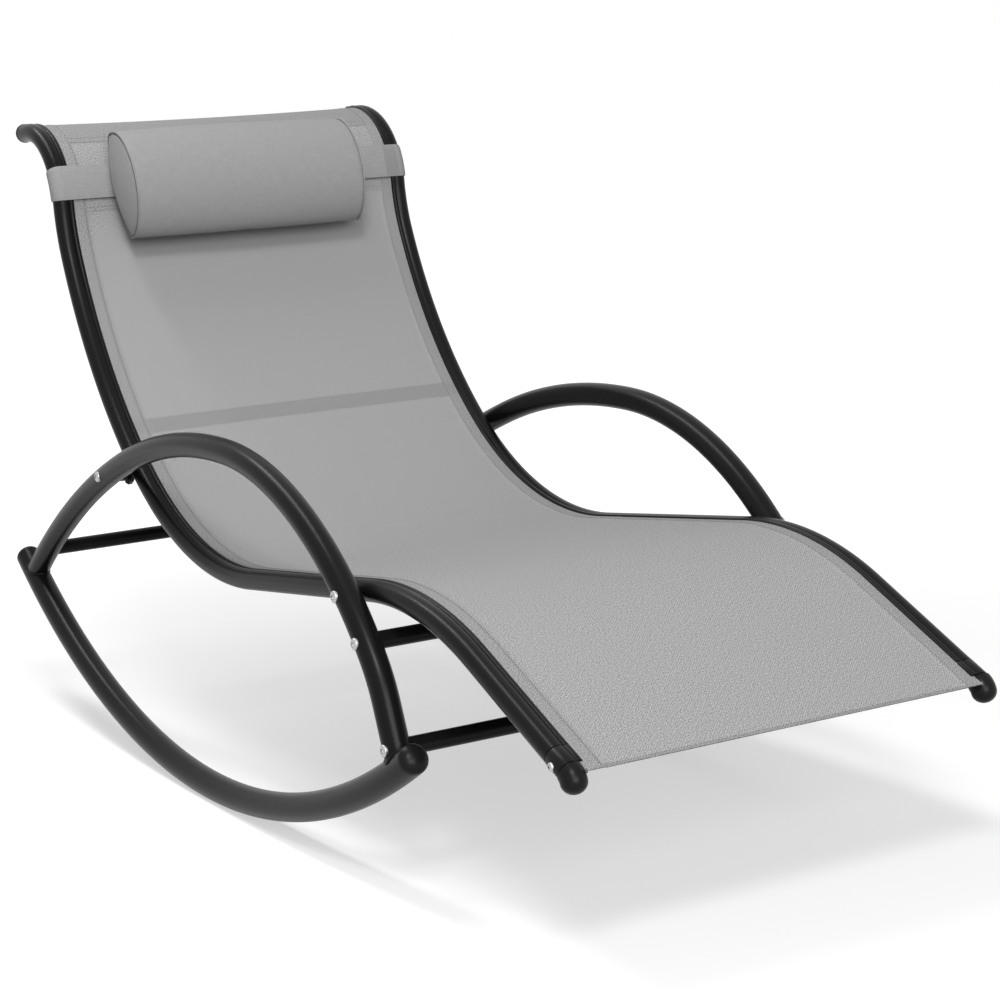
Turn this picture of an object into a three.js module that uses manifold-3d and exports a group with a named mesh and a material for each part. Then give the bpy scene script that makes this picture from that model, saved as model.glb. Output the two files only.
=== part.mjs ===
import * as THREE from 'three';
import { mergeVertices } from 'three/addons/utils/BufferGeometryUtils.js';
import Module from 'manifold-3d';

// A rocking chaise lounge: two curved side rails carry a stretched fabric sling,
// two hoops make the arms and legs, and two arched rockers stand on the floor.
// Millimetres, +Z up, head toward +Y. The side at -X is called left, as seen from the foot.
const wasm = await Module();
wasm.setup();

const deg = Math.PI / 180;

// Fits
const touchGap = 0.3;
const overrun = 4;
const pinClearance = 0.3;
const strapClearance = 0.6;
const pillowClearance = 1.4;
const chordError = 0.9;
const curlChordError = 0.5;

// Side rail: round tube with a keyhole channel along its inner top side
const railHalfSpacing = 268;
const railRadius = 13;
const railBoreRadius = 10.5;
const railBoreShift = 1.2;
const channelAngle = 40 * deg;
const channelReach = 13.2;
const channelOuterRadius = 4.1;
const channelRadius = 2.8;
const channelMouth = 1.7;

// Side view of the rail from the foot to the head, as straight and arc legs
const footLength = 204;
const kneeRadius = 434;
const thighLength = 331.4;
const seatRadius = 455;
const backRadius = 692.5;
const upperRadius = 234.8;
const curlRadius = 106.5;
const headLength = 17.6;
const railCourse = {
  y: 0,
  z: 0,
  heading: 24.4 * deg,
  legs: [
    { length: footLength },
    { radius: kneeRadius, turn: -31.1 * deg },
    { length: thighLength },
    { radius: seatRadius, turn: 46.6 * deg },
    { radius: backRadius, turn: 28.7 * deg },
    { radius: upperRadius, turn: 18.4 * deg },
    { radius: curlRadius, turn: -89.4 * deg, chordError: curlChordError },
    { length: headLength },
  ],
};

// Rocker: an arc of round tube, with a flat bottom and one level length at its lowest point
const rockerTubeRadius = 18;
const rockerWall = 1.3;
const rockerArcRadius = 1086;
const rockerLowY = 849.6;
const rockerLowZ = -203.2;
const rockerAheadLength = 597;
const rockerBehindLength = 682.9;
const rockerRestLength = 108;

// Hoop: arm and legs in one bent tube, from its rear foot over the arm to its front foot
const hoopRadius = 16;
const hoopWall = 1.2;
const hoopHalfSpacing = railHalfSpacing + railRadius + hoopRadius + touchGap;
const hoopRearY = 1447.2;
const hoopRearZ = -5.1;
const hoopRearHeading = 143.3 * deg;
const hoopRearRadius = 1402;
const hoopArmRadius = 931;
const hoopShoulderRadius = 475.6;
const hoopShinRadius = 193.2;
const hoopShinLength = 35.5;
const hoopLegs = [
  { radius: hoopRearRadius, turn: 18.4 * deg },
  { radius: hoopArmRadius, turn: 19.9 * deg },
  { radius: hoopShoulderRadius, turn: 52.2 * deg },
  { radius: hoopShinRadius, turn: 15.5 * deg },
  { length: hoopShinLength },
];

// Cross bars between the hoops, placed by their distances along the hoop from its nearer foot
const barRadius = 10.4;
const barWall = 1.2;
const barPlugLength = 22;
const frontLowerBarRise = 23;
const middleBarRise = 148;
const rearUpperBarRise = 379;
const rearLowerBarRise = 78;

// Spreader bars between the rails, under the two ends of the sling
const spreaderRadius = 6;
const spreaderWall = 1.2;
const spreaderDrop = 1.5;
const footSpreaderPlace = 17;
const headSpreaderInset = 20;

// Fasteners
const boltRadius = 3;
const boltHeadRadius = 7.2;
const boltHeadHeight = 3;
const boltHeadSkirt = 2.4;
const barBoltBite = 18;
const nutRadius = 5.7;
const nutHeight = 5;
const nutDrop = 0.6;
const boltTail = 2;
const footScrewRadius = 2;
const footScrewHeadRadius = 5;
const footScrewHeadHeight = 2.6;
const footScrewBite = 18;

// Rear bracket: a plate on the back of each rail that the rear upper bar passes through
const bracketThickness = 5;
const bracketRim = 6;
const bracketHalfWidth = 13;

// End caps
const footCapStart = 4;
const footCapCollar = 26;
const footDomeRadius = 14.4;
const footDomeTurn = 45 * deg;
const footDomeBend = 16;
const capPlugLength = 14;
const headCapRadius = 13.4;
const headCapRim = 2.4;
const headCapDome = 3;
const rockerCapDome = 12;
const plugClearance = 0.5;

// Sling and the cords in its side edges
const slingThickness = 1.2;
const slingBeadRadius = 2.2;
const cordTunnelRadius = 1.6;
const cordRadius = 1.1;
const slingFootReach = 12;

// Pillow and its strap, placed by their distances along the rail past the start of its curl
const strapPastCurl = 5;
const strapWidth = 44;
const strapThickness = 1.5;
const pillowHalfWidth = 178;
const pillowShift = -13;
const pillowEndDome = 6;
const pillowHalfLength = 82;
const pillowFront = 61;
const pillowBack = 25;
const pillowTilt = 66.1 * deg;
const pillowPastCurl = 14.8;
const pillowStandOff = 38;
const pillowWaistShare = 0.96;
const pillowEndShare = 0.48;
const pillowRingShares = [-0.97, -0.6, -0.2, 0.2, 0.6, 0.97];

// Counts of sides
const railSides = 10;
const boreSides = 8;
const hoopSides = 12;
const rockerSides = 16;
const barSides = 10;
const capSides = 12;
const screwSides = 10;
const holeSides = 8;
const nutSides = 6;
const strapTurnSides = 9;
const channelSides = 6;
const lobeUnderSides = 2;
const lobeOverSides = 3;
const beadSides = 6;
const cordSides = 6;
const pillowSides = 24;
const screwDomeSteps = 2;
const capDomeSteps = 3;

// Searches and merging
const searchStep = 2;
const searchRounds = 40;
const mergeShare = 0.001;

// Finishes
const frameFinish = { color: 0x2e2d2c, roughness: 0.45, metalness: 0.5 };
const capFinish = { color: 0x1c1c1c, roughness: 0.6, metalness: 0 };
const fabricFinish = { color: 0xa3a3a1, roughness: 0.9, metalness: 0 };
const pillowFinish = { color: 0xa9a9a7, roughness: 0.95, metalness: 0 };
const cordFinish = { color: 0x8f8f8c, roughness: 0.7, metalness: 0 };
const screwFinish = { color: 0xc9c9c6, roughness: 0.3, metalness: 1 };

const chaise = new THREE.Group();

// Courses: side-view lines made of straight and tangent arc legs

function legLength(leg) {
  return leg.length ?? leg.radius * Math.abs(leg.turn);
}

function courseLength(course) {
  return course.legs.reduce((sum, leg) => sum + legLength(leg), 0);
}

function stepAlong(place, leg, length) {
  if (leg.length !== undefined) {
    return {
      y: place.y + length * Math.cos(place.heading),
      z: place.z + length * Math.sin(place.heading),
      heading: place.heading,
    };
  }
  const side = Math.sign(leg.turn);
  const heading = place.heading + (side * length) / leg.radius;
  return {
    y: place.y + side * leg.radius * (Math.sin(heading) - Math.sin(place.heading)),
    z: place.z - side * leg.radius * (Math.cos(heading) - Math.cos(place.heading)),
    heading,
  };
}

function placeAlong(course, distance) {
  let place = { y: course.y, z: course.z, heading: course.heading };
  let left = distance;
  for (const leg of course.legs) {
    const length = Math.min(left, legLength(leg));
    place = stepAlong(place, leg, length);
    left -= length;
  }
  return place;
}

// Moves a place sideways, to the left of its heading
function offsetPlace(place, distance) {
  return {
    y: place.y - distance * Math.sin(place.heading),
    z: place.z + distance * Math.cos(place.heading),
    heading: place.heading,
  };
}

// Steps that keep the chords of an arc within the chord error, for a length of it
function stepsInLeg(leg, length) {
  if (leg.length !== undefined) {
    return 1;
  }
  const largest = 2 * Math.acos(1 - (leg.chordError ?? chordError) / leg.radius);
  return Math.ceil(length / leg.radius / largest);
}

// Distances of the stations on a course between two distances: leg ends and equal steps in arcs
function stationDistances(course, from, to) {
  const distances = [from];
  let start = 0;
  for (const leg of course.legs) {
    const end = start + legLength(leg);
    const low = Math.max(from, start);
    const high = Math.min(to, end);
    const count = high > low ? stepsInLeg(leg, high - low) : 0;
    for (let i = 1; i <= count; i++) {
      distances.push(low + ((high - low) * i) / count);
    }
    start = end;
  }
  return distances;
}

// A curve in a plane across x whose spaced points are given places
class SideCurve extends THREE.Curve {
  constructor(x, places) {
    super();
    this.x = x;
    this.places = places;
    this.steps = places.length - 1;
  }

  placeAt(share) {
    return this.places[Math.round(share * this.steps)];
  }

  getPoint(share, target = new THREE.Vector3()) {
    const place = this.placeAt(share);
    return target.set(this.x, place.y, place.z);
  }

  getPointAt(share, target) {
    return this.getPoint(share, target);
  }

  getTangentAt(share, target = new THREE.Vector3()) {
    const place = this.placeAt(share);
    return target.set(0, Math.cos(place.heading), Math.sin(place.heading));
  }
}

function courseCurve(x, course, from = 0, to = courseLength(course)) {
  return new SideCurve(x, stationDistances(course, from, to).map((s) => placeAlong(course, s)));
}

// Sections: points with x toward -X and y to the left of the course's heading

function arcPoints(centreX, centreY, radius, from, to, count) {
  const points = [];
  for (let i = 0; i <= count; i++) {
    const angle = from + ((to - from) * i) / count;
    points.push(new THREE.Vector2(centreX + radius * Math.cos(angle), centreY + radius * Math.sin(angle)));
  }
  return points;
}

function ringPoints(radius, sides, turn = 0, centreX = 0, centreY = 0) {
  return arcPoints(centreX, centreY, radius, turn, turn + 2 * Math.PI, sides).slice(0, sides);
}

function tubeSection(radius, wall, sides, turn = 0) {
  const shape = new THREE.Shape(ringPoints(radius, sides, turn));
  if (wall > 0) {
    shape.holes.push(new THREE.Path(ringPoints(radius - wall, boreSides)));
  }
  return shape;
}

function mirrored(points, side) {
  return points.map((point) => new THREE.Vector2(side * point.x, point.y));
}

const channelX = channelReach * Math.cos(channelAngle);
const channelY = channelReach * Math.sin(channelAngle);
const boreX = railBoreShift * Math.cos(channelAngle);
const boreY = railBoreShift * Math.sin(channelAngle);
const railPlugRadius = railBoreRadius * Math.cos(Math.PI / boreSides) - railBoreShift - plugClearance;

// Outline of the rail with its open channel, drawn with the inside of the chair toward +x
function railOutline(growth) {
  const tube = railRadius + growth;
  const lobe = channelOuterRadius + growth;
  const reach = channelReach;
  const half = Math.acos((reach * reach + tube * tube - lobe * lobe) / (2 * reach * tube));
  const start = channelAngle + half;
  const round = arcPoints(0, 0, tube, start, start + 2 * Math.PI - 2 * half, railSides);
  const first = round[0];
  const last = round[railSides];
  const upper = Math.atan2(first.y - channelY, first.x - channelX);
  const lower = Math.atan2(last.y - channelY, last.x - channelX);
  const outerMouth = Math.asin(channelMouth / 2 / lobe);
  const innerMouth = Math.asin(channelMouth / 2 / channelRadius);
  const lobeUnder = arcPoints(channelX, channelY, lobe, lower, -outerMouth, lobeUnderSides).slice(1);
  const bore = arcPoints(channelX, channelY, channelRadius, 2 * Math.PI - innerMouth, innerMouth, channelSides);
  const lobeOver = arcPoints(channelX, channelY, lobe, outerMouth, upper, lobeOverSides).slice(0, lobeOverSides);
  return { round, lobeUnder, bore, lobeOver };
}

// Section of the rail, or of a piece that carries on its shape; the hollow leaves room for the channel
function railSection(side, hollow) {
  const { round, lobeUnder, bore: channel, lobeOver } = railOutline(0);
  const shape = new THREE.Shape(mirrored([...round, ...lobeUnder, ...channel, ...lobeOver], side));
  if (hollow) {
    shape.holes.push(new THREE.Path(ringPoints(railBoreRadius, boreSides, 0, -side * boreX, -boreY)));
  }
  return shape;
}

// The rail without channel or bore, grown all round, for cutting what fits against it
function railCutSection(side) {
  const { round, lobeUnder, lobeOver } = railOutline(touchGap);
  return new THREE.Shape(mirrored([...round, ...lobeUnder, ...lobeOver], side));
}

// Solids and cuts

function sweep(section, curve) {
  return new THREE.ExtrudeGeometry(section, { steps: curve.steps, extrudePath: curve });
}

function solidOf(geometry) {
  const bare = geometry.index ? geometry.toNonIndexed() : geometry.clone();
  bare.deleteAttribute('normal');
  bare.deleteAttribute('uv');
  const merged = mergeVertices(bare, touchGap * mergeShare);
  return new wasm.Manifold(new wasm.Mesh({
    numProp: 3,
    vertProperties: new Float32Array(merged.attributes.position.array),
    triVerts: new Uint32Array(merged.index.array),
  }));
}

function geometryOf(solid) {
  const mesh = solid.getMesh();
  const geometry = new THREE.BufferGeometry();
  geometry.setAttribute('position', new THREE.BufferAttribute(new Float32Array(mesh.vertProperties), 3));
  geometry.setIndex(new THREE.BufferAttribute(new Uint32Array(mesh.triVerts), 1));
  return geometry;
}

function cut(geometry, ...cutters) {
  return geometryOf(cutters.reduce((solid, cutter) => solid.subtract(solidOf(cutter)), solidOf(geometry)));
}

function join(...geometries) {
  return geometryOf(geometries.map(solidOf).reduce((whole, solid) => whole.add(solid)));
}

// Turned piece whose axis runs along X through a place, from its profile of (distance, radius) pairs
function turnedAcross(profile, sides, place) {
  const points = profile.map(([distance, radius]) => new THREE.Vector2(radius, distance));
  const geometry = new THREE.LatheGeometry(points, sides);
  geometry.rotateZ(-Math.PI / 2);
  geometry.translate(0, place.y, place.z);
  return geometry;
}

function pinAcross(radius, from, to, sides, place) {
  const [low, high] = [Math.min(from, to), Math.max(from, to)];
  return turnedAcross([[low, 0], [low, radius], [high, radius], [high, 0]], sides, place);
}

// Turned piece that starts at a place and runs along its heading, in the plane at x
function turnedAlong(profile, sides, x, place) {
  const points = profile.map(([distance, radius]) => new THREE.Vector2(radius, distance));
  const geometry = new THREE.LatheGeometry(points, sides);
  geometry.rotateX(place.heading);
  geometry.translate(x, place.y, place.z);
  return geometry;
}

function domeProfile(start, radius, height, count) {
  const points = [];
  for (let i = 0; i <= count; i++) {
    const angle = (Math.PI / 2) * (i / count);
    points.push([start + height * Math.sin(angle), i === count ? 0 : radius * Math.cos(angle)]);
  }
  return points;
}

function add(name, geometry, finish) {
  const mesh = new THREE.Mesh(geometry, new THREE.MeshStandardMaterial(finish));
  mesh.name = name;
  mesh.geometry.computeVertexNormals();
  chaise.add(mesh);
}

// Places that several pieces share

const railLength = courseLength(railCourse);
const headPlace = placeAlong(railCourse, railLength);
const footSpreaderAt = offsetPlace(placeAlong(railCourse, footSpreaderPlace), -spreaderDrop);
const headSpreaderAt = offsetPlace(placeAlong(railCourse, railLength - headSpreaderInset), -spreaderDrop);

const rockerCentreZ = rockerLowZ + rockerArcRadius;

// Place on the rocker's line at a distance ahead of its lowest point
function rockerPlace(distance) {
  const turn = distance / rockerArcRadius;
  return {
    y: rockerLowY - rockerArcRadius * Math.sin(turn),
    z: rockerCentreZ - rockerArcRadius * Math.cos(turn),
    heading: Math.PI - turn,
  };
}

// Rocker places from the rear to the front, with a level step across the lowest point
function rockerPlaces() {
  const half = rockerRestLength / 2;
  const behind = Math.round((rockerBehindLength - half) / rockerRestLength);
  const ahead = Math.round((rockerAheadLength - half) / rockerRestLength);
  const places = [];
  for (let i = 0; i <= behind; i++) {
    places.push(rockerPlace(-rockerBehindLength + ((rockerBehindLength - half) * i) / behind));
  }
  for (let i = 0; i <= ahead; i++) {
    places.push(rockerPlace(half + ((rockerAheadLength - half) * i) / ahead));
  }
  return places;
}

// How far a straight line from a place must run to meet the rocker's centre line
function reachToRocker(place) {
  const y = place.y - rockerLowY;
  const z = place.z - rockerCentreZ;
  const along = y * Math.cos(place.heading) + z * Math.sin(place.heading);
  return -along + Math.sqrt(along * along - (y * y + z * z) + rockerArcRadius * rockerArcRadius);
}

function hoopCourse() {
  const rear = { y: hoopRearY, z: hoopRearZ, heading: hoopRearHeading };
  const bare = { ...rear, legs: hoopLegs };
  const front = placeAlong(bare, courseLength(bare));
  const rearTail = reachToRocker({ ...rear, heading: rear.heading + Math.PI });
  const frontTail = reachToRocker(front);
  return {
    y: rear.y - rearTail * Math.cos(rear.heading),
    z: rear.z - rearTail * Math.sin(rear.heading),
    heading: rear.heading,
    legs: [{ length: rearTail }, ...hoopLegs, { length: frontTail }],
  };
}

const hoopLine = hoopCourse();
const hoopLength = courseLength(hoopLine);
const frontLowerBarAt = placeAlong(hoopLine, hoopLength - frontLowerBarRise);
const middleBarAt = placeAlong(hoopLine, hoopLength - middleBarRise);
const rearUpperBarAt = placeAlong(hoopLine, rearUpperBarRise);
const rearLowerBarAt = placeAlong(hoopLine, rearLowerBarRise);

// Where the hoop's front half crosses the straight thigh of the rail in side view
function crossingPlace() {
  const [foot, knee, thigh] = railCourse.legs;
  const line = placeAlong(railCourse, legLength(foot) + legLength(knee));
  let above = hoopLength / 2;
  let below = hoopLength;
  for (let i = 0; i < searchRounds; i++) {
    const middle = (above + below) / 2;
    if (heightOver(line, placeAlong(hoopLine, middle)) > 0) {
      above = middle;
    } else {
      below = middle;
    }
  }
  const hoop = placeAlong(hoopLine, above);
  const along = Math.hypot(hoop.y - line.y, hoop.z - line.z);
  return offsetPlace(stepAlong(line, thigh, along), -nutDrop);
}

function heightOver(line, place) {
  return (place.z - line.z) * Math.cos(line.heading) - (place.y - line.y) * Math.sin(line.heading);
}

const crossingAt = crossingPlace();

// Cutters that keep the touching gap to a tube

function hoopCutter(side) {
  const section = tubeSection(hoopRadius + touchGap, 0, hoopSides);
  return sweep(section, courseCurve(side * hoopHalfSpacing, hoopLine));
}

function rockerCutter(side) {
  const section = tubeSection(rockerTubeRadius + touchGap, 0, rockerSides, Math.PI / rockerSides);
  return sweep(section, new SideCurve(side * hoopHalfSpacing, rockerPlaces()));
}

function railCutter(side) {
  return sweep(railCutSection(side), courseCurve(side * railHalfSpacing, railCourse));
}

// Frame pieces

function railGeometry(side) {
  const start = footCapStart + footCapCollar + touchGap;
  const curve = courseCurve(side * railHalfSpacing, railCourse, start);
  const hole = pinAcross(
    boltRadius + pinClearance,
    side * (railHalfSpacing - railRadius - overrun),
    side * (railHalfSpacing + railRadius + overrun),
    holeSides,
    crossingAt,
  );
  return cut(sweep(railSection(side, true), curve), hole);
}

function hoopGeometry(side) {
  const curve = courseCurve(side * hoopHalfSpacing, hoopLine);
  const holes = [frontLowerBarAt, middleBarAt, rearUpperBarAt, crossingAt].map((place) => pinAcross(
    boltRadius + pinClearance,
    side * (hoopHalfSpacing - hoopRadius - overrun),
    side * (hoopHalfSpacing + hoopRadius + overrun),
    holeSides,
    place,
  ));
  return cut(sweep(tubeSection(hoopRadius, hoopWall, hoopSides), curve), rockerCutter(side), ...holes);
}

function rockerGeometry(side) {
  const section = tubeSection(rockerTubeRadius, rockerWall, rockerSides, Math.PI / rockerSides);
  return sweep(section, new SideCurve(side * hoopHalfSpacing, rockerPlaces()));
}

// Hollow bar with a threaded plug in each end, its ends shaped to the tubes it meets
function barGeometry(halfLength, radius, wall, plugBore, place, cutters) {
  const bore = radius - wall;
  const plug = halfLength - barPlugLength;
  const profile = [
    [-halfLength, plugBore], [-halfLength, radius], [halfLength, radius], [halfLength, plugBore],
    [plug, plugBore], [plug, bore], [-plug, bore], [-plug, plugBore], [-halfLength, plugBore],
  ];
  return cut(turnedAcross(profile, barSides, place), ...cutters);
}

function crossBarGeometry(place) {
  const bore = boltRadius + pinClearance;
  return barGeometry(hoopHalfSpacing, barRadius, barWall, bore, place, [...hoopCutters, ...rockerCutters]);
}

function spreaderGeometry(place, cutters) {
  const bore = footScrewRadius + pinClearance;
  return barGeometry(railHalfSpacing, spreaderRadius, spreaderWall, bore, place, cutters);
}

const hoopCutters = [hoopCutter(1), hoopCutter(-1)];
const rockerCutters = [rockerCutter(1), rockerCutter(-1)];
const railCutters = [railCutter(1), railCutter(-1)];

// Plate from the rail's back to a ring round the rear upper bar
function bracketGeometry(side) {
  const rail = nearestRailPlace(rearUpperBarAt);
  const dy = rail.y - rearUpperBarAt.y;
  const dz = rail.z - rearUpperBarAt.z;
  const toRail = Math.atan2(dz, dy);
  const reach = Math.hypot(dy, dz);
  const rim = barRadius + bracketRim;
  const back = arcPoints(0, 0, rim, toRail + Math.PI / 2, toRail + 1.5 * Math.PI, barSides / 2);
  const across = new THREE.Vector2(-Math.sin(toRail), Math.cos(toRail)).multiplyScalar(bracketHalfWidth);
  const end = new THREE.Vector2(Math.cos(toRail), Math.sin(toRail)).multiplyScalar(reach);
  const shape = new THREE.Shape([...back, end.clone().sub(across), end.clone().add(across)]);
  const hole = (barRadius + touchGap) / Math.cos(Math.PI / barSides);
  shape.holes.push(new THREE.Path(ringPoints(hole, barSides)));
  const plate = new THREE.ExtrudeGeometry(shape, { depth: bracketThickness, bevelEnabled: false });
  plate.translate(0, 0, -bracketThickness / 2);
  plate.applyMatrix4(new THREE.Matrix4().makeBasis(
    new THREE.Vector3(0, 1, 0),
    new THREE.Vector3(0, 0, 1),
    new THREE.Vector3(1, 0, 0),
  ));
  plate.translate(side * railHalfSpacing, rearUpperBarAt.y, rearUpperBarAt.z);
  return cut(plate, railCutter(side));
}

function nearestRailPlace(target) {
  let best = null;
  for (let s = 0; s < railLength; s += searchStep) {
    const place = placeAlong(railCourse, s);
    const distance = Math.hypot(place.y - target.y, place.z - target.z);
    if (!best || distance < best.distance) {
      best = { ...place, distance };
    }
  }
  return best;
}

// Fasteners

// Truss-head bolt through the hoop, its head shaped to the tube
function boltGeometry(side, place, innerEnd) {
  const face = hoopHalfSpacing + hoopRadius;
  const head = [
    [face - boltHeadSkirt, 0],
    [face - boltHeadSkirt, boltHeadRadius],
    ...domeProfile(face + touchGap, boltHeadRadius, boltHeadHeight, screwDomeSteps),
  ];
  const headSolid = turnedAcross(head, screwSides, place);
  const shank = pinAcross(boltRadius, innerEnd, face + touchGap, holeSides, place);
  const bolt = join(cut(headSolid, hoopCutters[0]), shank);
  return side > 0 ? bolt : mirroredAcross(bolt);
}

function mirroredAcross(geometry) {
  const solid = solidOf(geometry);
  return geometryOf(solid.mirror([1, 0, 0]));
}

function nutGeometry(side) {
  const face = railHalfSpacing - railRadius - touchGap;
  const bore = (boltRadius + pinClearance) / Math.cos(Math.PI / nutSides);
  const profile = [
    [face - nutHeight, bore], [face - nutHeight, nutRadius], [face, nutRadius], [face, bore],
    [face - nutHeight, bore],
  ];
  const nut = turnedAcross(profile, nutSides, { y: 0, z: 0 });
  nut.rotateX(crossingAt.heading);
  nut.translate(0, crossingAt.y, crossingAt.z);
  return side > 0 ? nut : mirroredAcross(nut);
}

function footScrewGeometry(side) {
  const face = railHalfSpacing + railRadius;
  const profile = [
    [railHalfSpacing - railRadius - footScrewBite, 0],
    [railHalfSpacing - railRadius - footScrewBite, footScrewRadius],
    [face + touchGap, footScrewRadius],
    [face + touchGap, footScrewHeadRadius],
    ...domeProfile(face + 2 * touchGap, footScrewHeadRadius, footScrewHeadHeight, screwDomeSteps),
  ];
  const screw = turnedAcross(profile, screwSides, footSpreaderAt);
  return side > 0 ? screw : mirroredAcross(screw);
}

// End caps

// Moulded foot end: a collar that carries on the rail's shape, a plug and a dome that turns down
function footCapGeometry(side) {
  const x = side * railHalfSpacing;
  const collar = sweep(
    railSection(side, false),
    courseCurve(x, railCourse, footCapStart, footCapStart + footCapCollar),
  );
  const plugPlace = placeAlong(railCourse, footCapStart + footCapCollar - overrun);
  const plugLength = capPlugLength + overrun;
  const plug = turnedAlong(
    [[0, 0], [0, railPlugRadius], [plugLength, railPlugRadius], [plugLength, 0]],
    capSides,
    x,
    plugPlace,
  );
  const root = placeAlong(railCourse, footCapStart + touchGap);
  const outward = { ...root, heading: root.heading + Math.PI };
  const bend = { ...outward, legs: [{ radius: footDomeBend, turn: footDomeTurn }] };
  const neck = sweep(tubeSection(railRadius, 0, capSides), courseCurve(x, bend));
  const ball = new THREE.SphereGeometry(footDomeRadius, capSides, capSides / 2);
  const tip = placeAlong(bend, courseLength(bend));
  ball.translate(x, tip.y, tip.z);
  const hole = pinAcross(
    footScrewRadius + pinClearance,
    side * (railHalfSpacing - railRadius - overrun),
    side * (railHalfSpacing + railRadius + overrun),
    holeSides,
    footSpreaderAt,
  );
  const room = slingRoom(-slingFootReach - touchGap, footLength, slingBeadRadius + touchGap);
  return cut(join(collar, plug, cut(join(neck, ball), room)), hole);
}

// Room that the sling and its beads need between two places along the rails
function slingRoom(from, to, height) {
  const half = railHalfSpacing - channelX + channelRadius;
  const section = new THREE.Shape([
    new THREE.Vector2(-half, channelY - channelOuterRadius),
    new THREE.Vector2(half, channelY - channelOuterRadius),
    new THREE.Vector2(half, channelY + height),
    new THREE.Vector2(-half, channelY + height),
  ]);
  return sweep(section, courseCurve(0, railCourse, from, to));
}

function headCapGeometry(side) {
  const profile = [
    [-capPlugLength, 0], [-capPlugLength, railPlugRadius], [touchGap, railPlugRadius], [touchGap, headCapRadius],
    ...domeProfile(headCapRim, headCapRadius, headCapDome, capDomeSteps),
  ];
  return turnedAlong(profile, capSides, side * railHalfSpacing, headPlace);
}

function rockerCapGeometry(side, place, outward) {
  const plugRadius = (rockerTubeRadius - rockerWall) * Math.cos(Math.PI / boreSides) - plugClearance;
  const profile = [
    [-capPlugLength, 0], [-capPlugLength, plugRadius], [touchGap, plugRadius], [touchGap, rockerTubeRadius],
    ...domeProfile(2 * touchGap, rockerTubeRadius, rockerCapDome, capDomeSteps),
  ];
  return turnedAlong(profile, capSides, side * hoopHalfSpacing, { ...place, heading: place.heading + outward });
}

// Sling: one stretched sheet with a bead round the cord along each side edge

const slingBeadX = railHalfSpacing - channelX;

function slingGeometry() {
  const opening = Math.asin(slingThickness / 2 / slingBeadRadius);
  const bead = arcPoints(0, 0, slingBeadRadius, Math.PI + opening, 3 * Math.PI - opening, beadSides);
  const right = bead.map((point) => new THREE.Vector2(slingBeadX + point.x, channelY + point.y));
  const left = mirrored(right, -1).reverse();
  const shape = new THREE.Shape([...right, ...left]);
  for (const side of [1, -1]) {
    const tunnel = ringPoints(cordTunnelRadius, beadSides, 0, side * slingBeadX, channelY);
    shape.holes.push(new THREE.Path(tunnel));
  }
  return sweep(shape, courseCurve(0, railCourse, -slingFootReach, railLength));
}

function cordGeometry(side) {
  const section = new THREE.Shape(ringPoints(cordRadius, cordSides, 0, channelX * side, channelY));
  return sweep(section, courseCurve(side * railHalfSpacing, railCourse, -slingFootReach, railLength));
}

// Strap: a band drawn tight round both rails, and the pillow that it holds

const curlStart = railCourse.legs.slice(0, -2).reduce((sum, leg) => sum + legLength(leg), 0);
const strapStart = curlStart + strapPastCurl;
const pillowPlace = curlStart + pillowPastCurl;

// Right half of the loop, round the outer side of the rail
function strapHalfLoop(growth) {
  const round = arcPoints(0, 0, railRadius + growth, Math.PI / 2, 1.5 * Math.PI, strapTurnSides);
  return round.map((point) => new THREE.Vector2(railHalfSpacing - point.x, point.y));
}

function strapLoop(growth) {
  const half = strapHalfLoop(growth);
  return [...mirrored(half, -1), ...half.reverse()];
}

function strapGeometry() {
  const shape = new THREE.Shape(strapLoop(strapClearance + strapThickness));
  shape.holes.push(new THREE.Path(strapLoop(strapClearance)));
  return sweep(shape, courseCurve(0, railCourse, strapStart, strapStart + strapWidth));
}

// Ring of the pillow's section at a share of its full size, in the plane at x
function pillowRing(x, share) {
  const seat = placeAlong(railCourse, pillowPlace);
  const centre = offsetPlace(seat, pillowStandOff);
  const long = new THREE.Vector2(Math.cos(pillowTilt), Math.sin(pillowTilt));
  const front = new THREE.Vector2(-long.y, long.x);
  return Array.from({ length: pillowSides }, (_, i) => {
    const angle = (2 * Math.PI * i) / pillowSides;
    const depth = Math.sin(angle) > 0 ? pillowFront : pillowBack;
    const point = new THREE.Vector2(centre.y, centre.z)
      .addScaledVector(long, share * pillowHalfLength * Math.cos(angle))
      .addScaledVector(front, share * depth * Math.sin(angle));
    return new THREE.Vector3(x, point.x, point.y);
  });
}

// Closed skin over rings of points, with a fan at each end
function skinOver(rings) {
  const sides = rings[0].length;
  const centres = [rings[0], rings[rings.length - 1]].map((ring) => ring
    .reduce((sum, point) => sum.add(point), new THREE.Vector3())
    .divideScalar(sides));
  const positions = [...rings.flat(), ...centres].flatMap((point) => point.toArray());
  const first = rings.length * sides;
  const index = [];
  for (let i = 0; i < sides; i++) {
    const next = (i + 1) % sides;
    for (let r = 0; r < rings.length - 1; r++) {
      const [a, b] = [r * sides + i, r * sides + next];
      index.push(a, b, b + sides, a, b + sides, a + sides);
    }
    index.push(first, next, i, first + 1, first - sides + i, first - sides + next);
  }
  const geometry = new THREE.BufferGeometry();
  geometry.setAttribute('position', new THREE.Float32BufferAttribute(positions, 3));
  geometry.setIndex(index);
  return geometry;
}

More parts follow.
